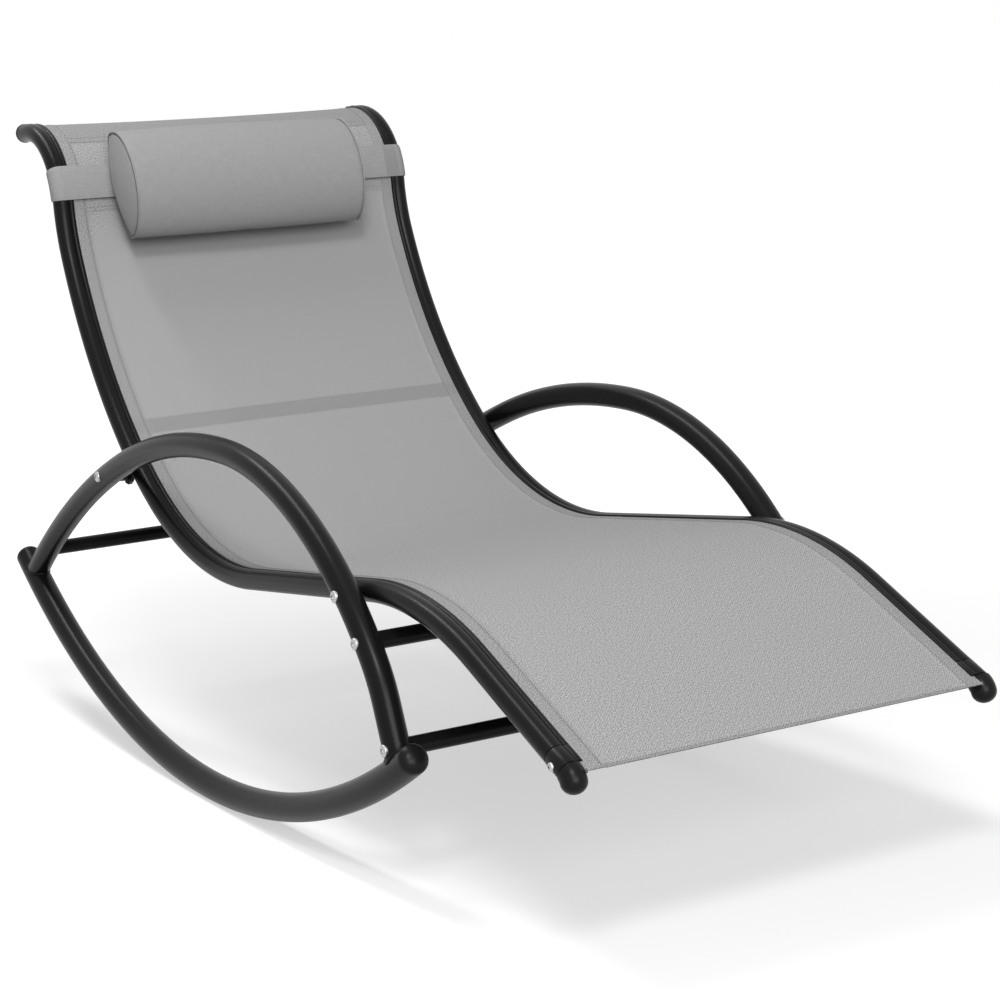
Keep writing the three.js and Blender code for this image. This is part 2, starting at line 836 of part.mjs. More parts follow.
function pillowGeometry() {
  const body = pillowRingShares.map((share) => {
    const size = 1 - (1 - pillowWaistShare) * share * share;
    return pillowRing(pillowShift + share * pillowHalfWidth, size);
  });
  const [leftEnd, rightEnd] = [-1, 1].map((side) => {
    return pillowRing(pillowShift + side * (pillowHalfWidth + pillowEndDome), pillowEndShare);
  });
  const sleeve = new THREE.Shape(strapLoop(strapClearance + strapThickness + touchGap));
  const around = courseCurve(0, railCourse, strapStart - touchGap, strapStart + strapWidth + touchGap);
  const reach = 2 * pillowHalfLength;
  const room = slingRoom(pillowPlace - reach, railLength, slingThickness / 2 + pillowClearance);
  return cut(skinOver([leftEnd, ...body, rightEnd]), sweep(sleeve, around), room);
}

// Assembly

const sides = [
  { name: 'left', side: -1 },
  { name: 'right', side: 1 },
];

function addFrame() {
  const ends = rockerPlaces();
  for (const { name, side } of sides) {
    add(`seat_rail_${name}`, railGeometry(side), frameFinish);
    add(`arm_hoop_${name}`, hoopGeometry(side), frameFinish);
    add(`rocker_${name}`, rockerGeometry(side), frameFinish);
    add(`rear_bracket_${name}`, bracketGeometry(side), frameFinish);
    add(`rail_foot_cap_${name}`, footCapGeometry(side), capFinish);
    add(`rail_head_cap_${name}`, headCapGeometry(side), capFinish);
    add(`rocker_rear_cap_${name}`, rockerCapGeometry(side, ends[0], Math.PI), capFinish);
    add(`rocker_front_cap_${name}`, rockerCapGeometry(side, ends[ends.length - 1], 0), capFinish);
  }
  add('cross_bar_front_lower', crossBarGeometry(frontLowerBarAt), frameFinish);
  add('cross_bar_middle', crossBarGeometry(middleBarAt), frameFinish);
  add('cross_bar_rear_upper', crossBarGeometry(rearUpperBarAt), frameFinish);
  add('cross_bar_rear_lower', crossBarGeometry(rearLowerBarAt), frameFinish);
  add('spreader_bar_foot', spreaderGeometry(footSpreaderAt, railCutters), frameFinish);
  add('spreader_bar_head', spreaderGeometry(headSpreaderAt, railCutters), frameFinish);
}

function addFasteners() {
  const barEnd = hoopHalfSpacing - hoopRadius - barBoltBite;
  const nutEnd = railHalfSpacing - railRadius - nutHeight - boltTail;
  for (const { name, side } of sides) {
    add(`bolt_front_lower_${name}`, boltGeometry(side, frontLowerBarAt, barEnd), screwFinish);
    add(`bolt_middle_${name}`, boltGeometry(side, middleBarAt, barEnd), screwFinish);
    add(`bolt_rear_upper_${name}`, boltGeometry(side, rearUpperBarAt, barEnd), screwFinish);
    add(`bolt_crossing_${name}`, boltGeometry(side, crossingAt, nutEnd), screwFinish);
    add(`nut_crossing_${name}`, nutGeometry(side), screwFinish);
    add(`foot_screw_${name}`, footScrewGeometry(side), screwFinish);
  }
}

function addSoftPieces() {
  add('sling', slingGeometry(), fabricFinish);
  for (const { name, side } of sides) {
    add(`edge_cord_${name}`, cordGeometry(side), cordFinish);
  }
  add('pillow', pillowGeometry(), pillowFinish);
  add('pillow_strap', strapGeometry(), fabricFinish);
}

addFrame();
addFasteners();
addSoftPieces();

// The origin is on the floor, midway along the chair and between its sides
const box = new THREE.Box3().setFromObject(chaise);
const middle = box.getCenter(new THREE.Vector3());
chaise.position.set(-middle.x, -middle.y, -box.min.z);

export default chaise;
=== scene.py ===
# Rocking chaise lounge: smooth tubes, a stretched sling, a filled pillow and its strap,
# dressed over the CAD frame. Metres, +Z up, head toward +Y, the side at -X is called left.
import math
import random

import bmesh
import bpy
from mathutils import Matrix, Vector


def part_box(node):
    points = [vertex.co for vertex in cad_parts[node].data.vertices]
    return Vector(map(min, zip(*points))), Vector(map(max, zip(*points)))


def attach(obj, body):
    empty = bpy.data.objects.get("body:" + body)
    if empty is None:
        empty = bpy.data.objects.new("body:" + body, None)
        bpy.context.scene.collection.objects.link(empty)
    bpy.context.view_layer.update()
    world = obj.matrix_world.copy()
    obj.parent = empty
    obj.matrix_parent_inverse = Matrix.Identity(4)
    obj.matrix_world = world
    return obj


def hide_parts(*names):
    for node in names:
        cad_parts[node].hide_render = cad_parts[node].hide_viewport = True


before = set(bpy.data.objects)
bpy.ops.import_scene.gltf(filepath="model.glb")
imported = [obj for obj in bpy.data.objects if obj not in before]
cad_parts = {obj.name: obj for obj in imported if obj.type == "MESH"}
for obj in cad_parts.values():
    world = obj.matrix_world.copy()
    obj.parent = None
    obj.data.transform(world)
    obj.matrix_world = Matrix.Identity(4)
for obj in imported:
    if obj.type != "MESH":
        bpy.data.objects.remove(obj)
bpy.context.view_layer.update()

SIDES = (("left", -1), ("right", 1))
TAU = 2 * math.pi

# Side rail
rail_half_spacing = 0.268
rail_radius = 0.013
channel_angle = math.radians(40)
channel_reach = 0.0132
channel_outer_radius = 0.0041
channel_radius = 0.0028
channel_mouth = 0.0017
channel_u = channel_reach * math.cos(channel_angle)
channel_v = channel_reach * math.sin(channel_angle)

# Side view of the rail from the foot to the head, as (length, turn in degrees) legs
foot_length = 0.204
knee = (0.434, -31.1)
thigh_length = 0.3314
seat = (0.455, 46.6)
back = (0.6925, 28.7)
upper_back = (0.2348, 18.4)
curl = (0.1065, -89.4)
head_length = 0.0176
rail_heading = 24.4

# Rocker
rocker_tube_radius = 0.018
rocker_arc_radius = 1.086
rocker_low = (0.8496, -0.2032)
rocker_ahead = math.degrees(0.597 / rocker_arc_radius)
rocker_behind = math.degrees(0.6829 / rocker_arc_radius)

# Hoop
hoop_radius = 0.016
hoop_half_spacing = 0.2973
hoop_rear = (1.4472, -0.0051)
hoop_rear_heading = 143.3
hoop_arcs = ((1.402, 18.4), (0.931, 19.9), (0.4756, 52.2), (0.1932, 15.5))
hoop_shin_length = 0.0355
weld_radius = 0.0019

# Bars and fasteners
bar_radius = 0.0104
spreader_radius = 0.006
bolt_head_radius = 0.0072
bolt_head_height = 0.0022
screw_head_radius = 0.005
screw_head_height = 0.0026

# End caps
foot_cap_start = 0.004
foot_cap_end = 0.030
foot_cap_lip = 0.0003
foot_cap_gap = 0.0012
foot_groove = 0.0012
foot_dome_bend = 0.016
foot_dome_turn = 45
foot_dome_radius = 0.0144
head_cap_radius = 0.0136
rocker_cap_dome = 0.012

# Sling
sling_thickness = 0.0012
sling_foot_reach = 0.012
side_hem = 0.022
head_hem = 0.0965
foot_hem = 0.004
hem_rise = 0.0007
sling_sag = 0.003
sling_across = 72
sling_step = 0.005
cross_band = (1.190, 1.2165)
upper_seam = 1.548
faint_lines = (0.908, 0.726)
stitch_pitch = 0.0036
stitch_length = 0.0025
stitch_radius = 0.0005

# Strap and pillow, placed past the start of the curl
strap_past_curl = 0.005
strap_width = 0.044
strap_thickness = 0.0015
strap_clearance = 0.0006
pillow_past_curl = 0.0148
pillow_shift = -0.013
pillow_half_width = 0.178
pillow_half_length = 0.082
pillow_front = 0.058
pillow_back = 0.024
pillow_tilt = 66.1
pillow_stand_off = 0.038
pillow_around = 88
pillow_along = 64
pillow_end_rings = 9
pillow_swell_cap = 0.008
pillow_end_bulge = 0.011
pillow_seam_inset = 0.0026
pillow_seam_lift = 0.0007
pillow_seam_radius = 0.0006
pillow_seam_draw = 0.0012
pillow_piping_radius = 0.0011
pillow_girth = 0.42
pillow_gather = 0.0009
swell_frames = 20

# Weaves
sling_pitch = 0.0017
pillow_pitch = 0.0012
band_pitch = (0.0011, 0.0022)
band_rib_pitch = 0.0034
fleck_scale = 560
yarn_run = 0.014
layer_shade = 0.79

# Room
room_light = 0.27
near_glow = 0.54
far_glow = 0.92
glow_rise = (0.8, 2.6)
floor_size = 60
floor_drop = 0.0005

# Camera, from the photograph's vanishing lines
camera_from_rail = (-1.4958, -2.0042, 0.6951)
camera_azimuth = 30.708
camera_elevation = 14.754
camera_lean = 5.5
camera_lens = 87.89
sensor_width = 36


# Courses: side-view lines of straight and tangent arc legs

def straight(length):
    return (length, 0.0, None)


def arc(radius, turn):
    return (radius * abs(math.radians(turn)), math.radians(turn), radius)


def place_along(course, distance):
    y, z, heading = course["start"]
    left = distance
    for length, turn, radius in course["legs"]:
        step = min(left, length)
        if radius is None:
            y += step * math.cos(heading)
            z += step * math.sin(heading)
        else:
            side = math.copysign(1, turn)
            new = heading + side * step / radius
            y += side * radius * (math.sin(new) - math.sin(heading))
            z -= side * radius * (math.cos(new) - math.cos(heading))
            heading = new
        left -= step
    return y, z, heading


def course_length(course):
    return sum(leg[0] for leg in course["legs"])


def offset(place, distance):
    y, z, heading = place
    return y - distance * math.sin(heading), z + distance * math.cos(heading), heading


def spread(low, high, step):
    count = max(1, math.ceil((high - low) / step))
    return [low + (high - low) * i / count for i in range(count + 1)]


rail_legs = [
    straight(foot_length), arc(*knee), straight(thigh_length), arc(*seat),
    arc(*back), arc(*upper_back), arc(*curl), straight(head_length),
]
local_rail = {"start": (0.0, 0.0, math.radians(rail_heading)), "legs": rail_legs}

# The CAD's origin is found from the foot spreader bar, whose place on the rail is known
foot_spreader_place = 0.017
spreader_drop = 0.0015
low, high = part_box("spreader_bar_foot")
spreader_local = offset(place_along(local_rail, foot_spreader_place), -spreader_drop)
origin_y = (low.y + high.y) / 2 - spreader_local[0]
origin_z = (low.z + high.z) / 2 - spreader_local[1]

rail_course = {"start": (origin_y, origin_z, math.radians(rail_heading)), "legs": rail_legs}
rail_length = course_length(rail_course)
curl_start = sum(leg[0] for leg in rail_legs[:-2])
rocker_y = rocker_low[0] + origin_y
rocker_z = rocker_low[1] + rocker_arc_radius + origin_z


def rocker_place(turn):
    angle = math.radians(turn)
    return (
        rocker_y - rocker_arc_radius * math.sin(angle),
        rocker_z - rocker_arc_radius * math.cos(angle),
        math.pi - angle,
    )


def reach_to_rocker(place):
    y, z, heading = place[0] - rocker_y, place[1] - rocker_z, place[2]
    along = y * math.cos(heading) + z * math.sin(heading)
    return -along + math.sqrt(along * along - (y * y + z * z) + rocker_arc_radius**2)


def hoop_line():
    heading = math.radians(hoop_rear_heading)
    rear = (hoop_rear[0] + origin_y, hoop_rear[1] + origin_z, heading)
    legs = [arc(*leg) for leg in hoop_arcs] + [straight(hoop_shin_length)]
    bare = {"start": rear, "legs": legs}
    front_tail = reach_to_rocker(place_along(bare, course_length(bare)))
    rear_tail = reach_to_rocker((rear[0], rear[1], heading + math.pi))
    start = (rear[0] - rear_tail * math.cos(heading), rear[1] - rear_tail * math.sin(heading), heading)
    return {"start": start, "legs": [straight(rear_tail), *legs, straight(front_tail)]}


hoop_course = hoop_line()
hoop_length = course_length(hoop_course)


# Mesh helpers

def finish_mesh(name, mesh, material, sharp=35, body="frame"):
    mesh.validate()
    piece = bpy.data.objects.new(name, mesh)
    bpy.context.scene.collection.objects.link(piece)
    mesh.shade_smooth()
    mesh.set_sharp_from_angle(angle=math.radians(sharp))
    mesh.materials.append(material)
    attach(piece, body)
    return piece


def dress(node, material):
    """Gives a solid that is shown as it is its material."""
    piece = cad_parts[node]
    piece.data.materials.clear()
    piece.data.materials.append(material)


def mesh_from(name, points, faces):
    mesh = bpy.data.meshes.new(name)
    mesh.from_pydata([tuple(point) for point in points], [], faces)
    tidy = bmesh.new()
    tidy.from_mesh(mesh)
    bmesh.ops.recalc_face_normals(tidy, faces=tidy.faces)
    tidy.to_mesh(mesh)
    tidy.free()
    return mesh


def ring_faces(rows, count, loop=False):
    faces = []
    for r in range(rows if loop else rows - 1):
        a, b = r * count, ((r + 1) % rows) * count
        for i in range(count):
            j = (i + 1) % count
            faces.append((a + i, a + j, b + j, b + i))
    return faces


def skin(name, rings):
    """Closed mesh over rings of points, with a flat face on each end."""
    count = len(rings[0])
    points = sum(rings, [])
    faces = ring_faces(len(rings), count)
    last = (len(rings) - 1) * count
    faces.append(tuple(range(count))[::-1])
    faces.append(tuple(range(last, last + count)))
    return mesh_from(name, points, faces)


def spun(name, profile, sides, matrix):
    """Closed mesh turned about local +Z from (radius, height) pairs that start and end on the axis."""
    points, faces, rings = [], [], []
    for radius, height in profile:
        if radius == 0:
            rings.append([len(points)])
            points.append(matrix @ Vector((0, 0, height)))
            continue
        rings.append(list(range(len(points), len(points) + sides)))
        for i in range(sides):
            angle = TAU * i / sides
            points.append(matrix @ Vector((radius * math.cos(angle), radius * math.sin(angle), height)))
    for a, b in zip(rings, rings[1:]):
        for i in range(sides):
            j = (i + 1) % sides
            corners = [a[i % len(a)], a[j % len(a)], b[j % len(b)], b[i % len(b)]]
            faces.append(tuple(dict.fromkeys(corners)))
    return mesh_from(name, points, faces)


def dome(radius, start, height, steps):
    """Profile pairs of a quarter ellipse from its rim to its tip."""
    pairs = []
    for i in range(steps + 1):
        angle = math.pi / 2 * i / steps
        pairs.append((0 if i == steps else radius * math.cos(angle), start + height * math.sin(angle)))
    return pairs


def raised_point(x, place, v):
    """World point at v to the sitter's side of a place on a course."""
    y, z, heading = place
    return Vector((x, y - v * math.sin(heading), z + v * math.cos(heading)))


def section_point(side, u, v, place):
    """The same, at u from a rail's line toward the chair's middle."""
    return raised_point(side * (rail_half_spacing - u), place, v)


def tube_ring(x, place, radius, sides):
    angles = [TAU * i / sides for i in range(sides)]
    return [raised_point(x + radius * math.cos(a), place, radius * math.sin(a)) for a in angles]


def bead(name, loop, radius, ripple, sides=8):
    """Small round bead along a closed loop of points, with a ripple in its radius."""
    count = len(loop)
    rings = []
    for i, point in enumerate(loop):
        along = (loop[(i + 1) % count] - loop[i - 1]).normalized()
        across = along.orthogonal() if i == 0 else across - along * across.dot(along)
        across.normalize()
        up = along.cross(across)
        size = radius * (1 + ripple * math.sin(TAU * i * 7 / count * 3))
        rings.append([
            point + size * (across * math.cos(TAU * k / sides) + up * math.sin(TAU * k / sides))
            for k in range(sides)
        ])
    return mesh_from(name, sum(rings, []), ring_faces(count, sides, loop=True))


# Materials

class Nodes:
    """Short way to build a node material."""

    def __init__(self, name):
        self.material = bpy.data.materials.new(name)
        self.material.use_nodes = True
        self.tree = self.material.node_tree
        self.tree.nodes.clear()
        self.output = self.new("ShaderNodeOutputMaterial")
        self.shader = self.new("ShaderNodeBsdfPrincipled")
        self.link(self.shader.outputs[0], self.output.inputs[0])

    def new(self, kind, **settings):
        node = self.tree.nodes.new(kind)
        for key, value in settings.items():
            setattr(node, key, value)
        return node

    def link(self, output, target):
        self.tree.links.new(output, target)

    def put(self, value, target):
        if hasattr(value, "is_output"):
            self.link(value, target)
        else:
            target.default_value = value

    def place(self):
        return self.new("ShaderNodeTexCoord").outputs["Object"]

    def math(self, operation, first, second=0.0, third=0.0):
        node = self.new("ShaderNodeMath", operation=operation)
        for socket, value in zip(node.inputs, (first, second, third)):
            self.put(value, socket)
        return node.outputs[0]

    def noise(self, vector, scale, detail=4.0, roughness=0.5):
        node = self.new("ShaderNodeTexNoise")
        self.put(vector, node.inputs["Vector"])
        node.inputs["Scale"].default_value = scale
        node.inputs["Detail"].default_value = detail
        node.inputs["Roughness"].default_value = roughness
        return node.outputs["Fac"]

    def stretch(self, vector, scale):
        node = self.new("ShaderNodeMapping")
        self.put(vector, node.inputs["Vector"])
        node.inputs["Scale"].default_value = scale
        return node.outputs[0]

    def ramp(self, factor, low, high):
        node = self.new("ShaderNodeMapRange")
        self.put(factor, node.inputs["Value"])
        node.inputs["To Min"].default_value = low
        node.inputs["To Max"].default_value = high
        return node.outputs[0]

    def mix(self, factor, first, second):
        node = self.new("ShaderNodeMix", data_type="RGBA")
        self.put(factor, node.inputs[0])
        self.put(first, node.inputs[6])
        self.put(second, node.inputs[7])
        return node.outputs[2]

    def bump(self, height, distance, strength=1.0, normal=None):
        node = self.new("ShaderNodeBump")
        self.put(height, node.inputs["Height"])
        node.inputs["Distance"].default_value = distance
        node.inputs["Strength"].default_value = strength
        if normal is not None:
            self.link(normal, node.inputs["Normal"])
        return node.outputs[0]

    def attribute(self, name):
        return self.new("ShaderNodeAttribute", attribute_name=name)

    def set(self, **inputs):
        names = {"color": "Base Color", "rough": "Roughness", "metal": "Metallic", "normal": "Normal",
                 "specular": "Specular IOR Level"}
        for key, value in inputs.items():
            self.put(value, self.shader.inputs[names[key]])


def shade(level, tint=(1.0, 1.0, 1.0)):
    return (level * tint[0], level * tint[1], level * tint[2], 1.0)


WARM = (1.0, 0.985, 0.965)


def powder_coat():
    n = Nodes("powder_coat")
    place = n.place()
    cloud = n.noise(place, 9, 3)
    n.set(color=n.mix(cloud, shade(0.004, WARM), shade(0.006, WARM)))
    n.set(rough=n.ramp(n.noise(place, 60, 4), 0.28, 0.33), metal=0.0, specular=0.1)
    n.set(normal=n.bump(n.noise(place, 900, 2), 0.00005, 0.15))
    return n.material


def moulded_plastic():
    n = Nodes("moulded_plastic")
    place = n.place()
    n.set(color=n.mix(n.noise(place, 30, 3), shade(0.004), shade(0.007)))
    n.set(rough=n.ramp(n.noise(place, 120, 4), 0.31, 0.37), specular=0.11)
    n.set(normal=n.bump(n.noise(place, 1200, 2), 0.00005, 0.2))
    return n.material


def plated_steel():
    n = Nodes("plated_steel")
    place = n.place()
    turned = n.stretch(place, (400, 4000, 4000))
    n.set(color=n.mix(n.noise(place, 200, 3), shade(0.38, WARM), shade(0.52)), metal=1.0)
    n.set(rough=n.ramp(n.noise(turned, 1.0, 3), 0.30, 0.42))
    n.set(normal=n.bump(n.noise(turned, 1.0, 2), 0.00005, 0.3))
    return n.material


def weave_waves(n, pitch_u, pitch_v):
    """Plain-weave height and its two thread sets, over the metre coordinates kept on the mesh."""
    coordinates = n.attribute("weave_place").outputs["Vector"]
    split = n.new("ShaderNodeSeparateXYZ")
    n.link(coordinates, split.inputs[0])
    across = n.math("MULTIPLY", split.outputs[0], math.pi / pitch_u)
    along = n.math("MULTIPLY", split.outputs[1], math.pi / pitch_v)
    warp = n.math("ABSOLUTE", n.math("SINE", across))
    weft = n.math("ABSOLUTE", n.math("SINE", along))
    over = n.math("MULTIPLY", n.math("SINE", n.math("ADD", across, math.pi / 2)),
                  n.math("SINE", n.math("ADD", along, math.pi / 2)))
    share = n.math("MULTIPLY_ADD", over, 0.5, 0.5)
    height = n.math("ADD", n.math("MULTIPLY", warp, share),
                    n.math("MULTIPLY", weft, n.math("SUBTRACT", 1.0, share)))
    return coordinates, height, share


def thread_streaks(n, coordinates, pitch_u, pitch_v):
    """Uneven yarn: noise drawn out along each thread set."""
    lengthwise = n.noise(n.stretch(coordinates, (0.6 / pitch_u, 1 / yarn_run, 1)), 1.0, 2)
    crosswise = n.noise(n.stretch(coordinates, (1 / yarn_run, 0.6 / pitch_v, 1)), 1.0, 2)
    return n.math("MULTIPLY", n.math("ADD", lengthwise, crosswise), 0.5)


def woven(name, pitch, dark, pale, bump_depth, rough=(0.62, 0.78), streaky=False):
    n = Nodes(name)
    coordinates, height, share = weave_waves(n, pitch, pitch)
    if streaky:
        fleck = n.ramp(thread_streaks(n, coordinates, pitch, pitch), -0.15, 1.15)
    else:
        fleck = n.ramp(n.noise(coordinates, fleck_scale, 1), -0.9, 1.9)
    tint = n.math("MULTIPLY_ADD", fleck, 0.5, n.math("MULTIPLY", share, 0.5))
    yarn = n.mix(tint, shade(dark), shade(pale))
    # painted shade: the low places between threads are coloured darker, as if in shadow
    painted_gap_shade = n.mix(n.math("POWER", height, 0.6), shade(dark * 0.45), yarn)
    layer = n.attribute("layer").outputs["Fac"]
    tone = n.new("ShaderNodeMix", data_type="RGBA", blend_type="MULTIPLY")
    n.link(layer, tone.inputs[0])
    n.link(painted_gap_shade, tone.inputs[6])
    tone.inputs[7].default_value = shade(layer_shade)
    n.set(color=tone.outputs[2])
    n.set(rough=n.ramp(height, *rough), specular=0.35)
    broad = n.bump(n.noise(coordinates, 22, 2), 0.0006, 0.25)
    n.set(normal=n.bump(height, bump_depth, 0.8, broad))
    return n.material


def ribbed_band():
    n = Nodes("elastic_band")
    coordinates, height, _ = weave_waves(n, *band_pitch)
    split = n.new("ShaderNodeSeparateXYZ")
    n.link(coordinates, split.inputs[0])
    ribs = n.math("ABSOLUTE", n.math("SINE", n.math("MULTIPLY", split.outputs[0], math.pi / band_rib_pitch)))
    streaks = thread_streaks(n, coordinates, *band_pitch)
    yarn = n.mix(n.ramp(streaks, -0.3, 1.3), shade(0.23), shade(0.31))
    # painted shade: the low places between the band's threads are coloured dark, as if in shadow
    n.set(color=n.mix(n.math("POWER", height, 0.6), shade(0.13), yarn))
    n.set(rough=n.ramp(height, 0.7, 0.85), specular=0.3)
    n.set(normal=n.bump(height, 0.0002, 0.6, n.bump(ribs, 0.00035, 0.5)))
    return n.material


def thread():
    n = Nodes("sewing_thread")
    place = n.place()
    n.set(color=n.mix(n.noise(place, 900, 3), shade(0.05), shade(0.09)))
    n.set(rough=n.ramp(n.noise(place, 500, 2), 0.5, 0.7))
    n.set(normal=n.bump(n.noise(place, 3000, 2), 0.0001, 0.4))
    return n.material


coat = powder_coat()
plastic = moulded_plastic()
steel = plated_steel()
sling_cloth = woven("sling_mesh", sling_pitch, 0.09, 0.58, 0.0003)
pillow_cloth = woven("pillow_cover", pillow_pitch, 0.18, 0.39, 0.0002, rough=(0.7, 0.85), streaky=True)
band_cloth = ribbed_band()
seam_thread = thread()


# Rails

def round_channel(radius, angles):
    return [(channel_u + radius * math.cos(a), channel_v + radius * math.sin(a)) for a in angles]


def rail_outline(growth, with_channel=True, round_sides=44):
    """(u, v) points round the rail and its channel lobe, counter-clockwise."""
    tube = rail_radius + growth
    lobe = channel_outer_radius + growth
    cosine = (channel_reach**2 + tube**2 - lobe**2) / (2 * channel_reach * tube)
    half = math.acos(cosine)
    start = channel_angle + half
    points = [(tube * math.cos(a), tube * math.sin(a))
              for a in spread(start, start + TAU - 2 * half, TAU / round_sides)]
    first, last = points[0], points[-1]
    upper = math.atan2(first[1] - channel_v, first[0] - channel_u)
    lower = math.atan2(last[1] - channel_v, last[0] - channel_u)
    step = TAU / 24
    if not with_channel:
        return points + round_channel(lobe, spread(lower, upper, step)[1:-1])
    outer = math.asin(channel_mouth / 2 / lobe)
    inner = math.asin(channel_mouth / 2 / channel_radius)
    under = round_channel(lobe, spread(lower, -outer, step)[1:])
    bore = round_channel(channel_radius, spread(inner, TAU - inner, step)[::-1])
    over = round_channel(lobe, spread(outer, upper, step)[:-1])
    return points + under + bore + over


def make_rail(name, side):
    outline = rail_outline(0)
    rings = [
        [section_point(side, u, v, place_along(rail_course, s)) for u, v in outline]
        for s in spread(foot_cap_end + foot_cap_gap, rail_length, 0.006)
    ]
    piece = finish_mesh(f"rail_tube_{name}", skin(f"rail_tube_{name}", rings), coat, 30)
    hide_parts(f"seat_rail_{name}")


# Rockers

def make_rocker(name, side):
    x = side * hoop_half_spacing
    rings = []
    for turn in spread(-rocker_behind, rocker_ahead, 0.55):
        ring = tube_ring(x, rocker_place(turn), rocker_tube_radius, 48)
        for point in ring:
            point.z = max(point.z, 0.0)
        rings.append(ring)
    piece = finish_mesh(f"rocker_tube_{name}", skin(f"rocker_tube_{name}", rings), coat)
    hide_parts(f"rocker_{name}")
    for end, turn in (("rear", -rocker_behind), ("front", rocker_ahead)):
        y, z, heading = rocker_place(turn)
        outward = heading + (math.pi if end == "rear" else 0.0)
        make_rocker_cap(name, end, x, (y, z, outward))


def frame_matrix(x, place):
    """Matrix that takes local +Z to a place's heading, in the plane at x."""
    y, z, heading = place
    axis = Vector((0, math.cos(heading), math.sin(heading)))
    side = Vector((1, 0, 0))
    up = axis.cross(side)
    matrix = Matrix((side, up, axis)).transposed().to_4x4()
    matrix.translation = Vector((x, y, z))
    return matrix


def make_rocker_cap(name, end, x, place):
    rim = 0.0007
    plug = rocker_tube_radius - 0.0018
    profile = [(0, -0.014), (plug - 0.001, -0.014), (plug, -0.013), (plug, 0.0003),
               (rocker_tube_radius - 0.0004, 0.0003), (rocker_tube_radius, rim)]
    profile += dome(rocker_tube_radius, 0.0014, rocker_cap_dome, 14)
    cap_name = f"rocker_end_{end}_{name}"
    mesh = spun(cap_name, profile, 48, frame_matrix(x, place))
    piece = finish_mesh(cap_name, mesh, plastic)
    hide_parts(f"rocker_{end}_cap_{name}")


# Hoops

def coped(point, direction, inward):
    """Moves a hoop point along its tube until it lies on the rocker's surface."""
    low_step, high_step = 0.0, 0.05
    for _ in range(40):
        middle = (low_step + high_step) / 2
        spot = point + direction * middle
        radial = math.hypot(spot.y - rocker_y, spot.z - rocker_z) - rocker_arc_radius
        across = abs(spot.x) - hoop_half_spacing
        if math.hypot(radial, across) < rocker_tube_radius:
            low_step = middle
        else:
            high_step = middle
    return point + direction * (low_step + inward)


def make_hoop(name, side):
    x = side * hoop_half_spacing
    sides = 44
    cope_room = 0.045
    rings = [tube_ring(x, place_along(hoop_course, s), hoop_radius, sides)
             for s in spread(cope_room, hoop_length - cope_room, 0.008)]
    welds = []
    for end, s, sign in (("rear", 0.0, 1), ("front", hoop_length, -1)):
        place = place_along(hoop_course, s)
        direction = Vector((0, sign * math.cos(place[2]), sign * math.sin(place[2])))
        raw = tube_ring(x, place, hoop_radius, sides)
        welds.append((end, [coped(point, direction, 0.0006) for point in raw]))
        rings.insert(0 if end == "rear" else len(rings), [coped(point, direction, -0.0002) for point in raw])
    piece = finish_mesh(f"hoop_tube_{name}", skin(f"hoop_tube_{name}", rings), coat, 50)
    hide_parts(f"arm_hoop_{name}")
    for end, loop in welds:
        weld = bead(f"weld_{end}_{name}", loop, weld_radius, 0.08)
        finish_mesh(f"weld_{end}_{name}", weld, coat, 80)


# Cross bars and spreaders

def bar_place(node):
    low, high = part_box(node)
    return (low.y + high.y) / 2, (low.z + high.z) / 2


def nearest_heading(course, length, y, z):
    best = min(spread(0, length, 0.002), key=lambda s: math.dist(place_along(course, s)[:2], (y, z)))
    return place_along(course, best)[2]


def make_bar(node, name, radius, half_spacing, tube_radius, heading, sides=36):
    y, z = bar_place(node)
    rows = []
    for share in (-1, -0.94, 0.94, 1):
        ring = []
        for i in range(sides):
            angle = TAU * i / sides
            dy, dz = radius * math.cos(angle), radius * math.sin(angle)
            off_line = -dy * math.sin(heading) + dz * math.cos(heading)
            reach = half_spacing - math.sqrt(tube_radius**2 - off_line**2) + 0.0001
            x = math.copysign(reach, share) if abs(share) == 1 else share * half_spacing
            ring.append(Vector((x, y + dy, z + dz)))
        rows.append(ring)
    piece = finish_mesh(name, skin(name, rows), coat, 50)
    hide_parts(node)


def make_bars():
    for place in ("front_lower", "middle", "rear_upper", "rear_lower"):
        node = f"cross_bar_{place}"
        heading = nearest_heading(hoop_course, hoop_length, *bar_place(node))
        make_bar(node, f"bar_tube_{place}", bar_radius, hoop_half_spacing, hoop_radius, heading)
    for place in ("foot", "head"):
        node = f"spreader_bar_{place}"
        heading = nearest_heading(rail_course, rail_length, *bar_place(node))
        make_bar(node, f"spreader_tube_{place}", spreader_radius, rail_half_spacing, rail_radius, heading)


# Fasteners

def make_screw(node, name, side, y, z, face, head_radius, head_height, tube_radius, heading):
    """Button head with a six-sided socket, its skirt shaped to the round tube that it sits on."""
    sides = 48
    socket = head_radius * 0.42
    depth = head_height * 0.6
    rows = []
    profile = [(head_radius, None), (head_radius, 0.0008)]
    profile += [(r, 0.0008 + h) for r, h in dome(head_radius, 0, head_height, 9)[1:-3]]
    top = profile[-1][1]
    profile += [(socket * 1.08, top + 0.0003), (socket, top + 0.0001)]
    profile += [(socket, top - depth), (0.0005, top - depth)]
    for index, (radius, height) in enumerate(profile):
        ring = []
        for i in range(sides):
            angle = TAU * i / sides
            size = radius
            if index >= len(profile) - 4:
                sector = (angle % (TAU / 6)) - TAU / 12
                size = radius * math.cos(TAU / 12) / math.cos(sector)
            dy, dz = size * math.cos(angle), size * math.sin(angle)
            off_line = -dy * math.sin(heading) + dz * math.cos(heading)
            drop = tube_radius - math.sqrt(tube_radius**2 - min(off_line**2, tube_radius**2 * 0.98))
            out = face - drop if height is None else face + height
            ring.append(Vector((side * out, y + dy, z + dz)))
        rows.append(ring)
    piece = finish_mesh(name, skin(name, rows), steel, 30)
    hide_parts(node)


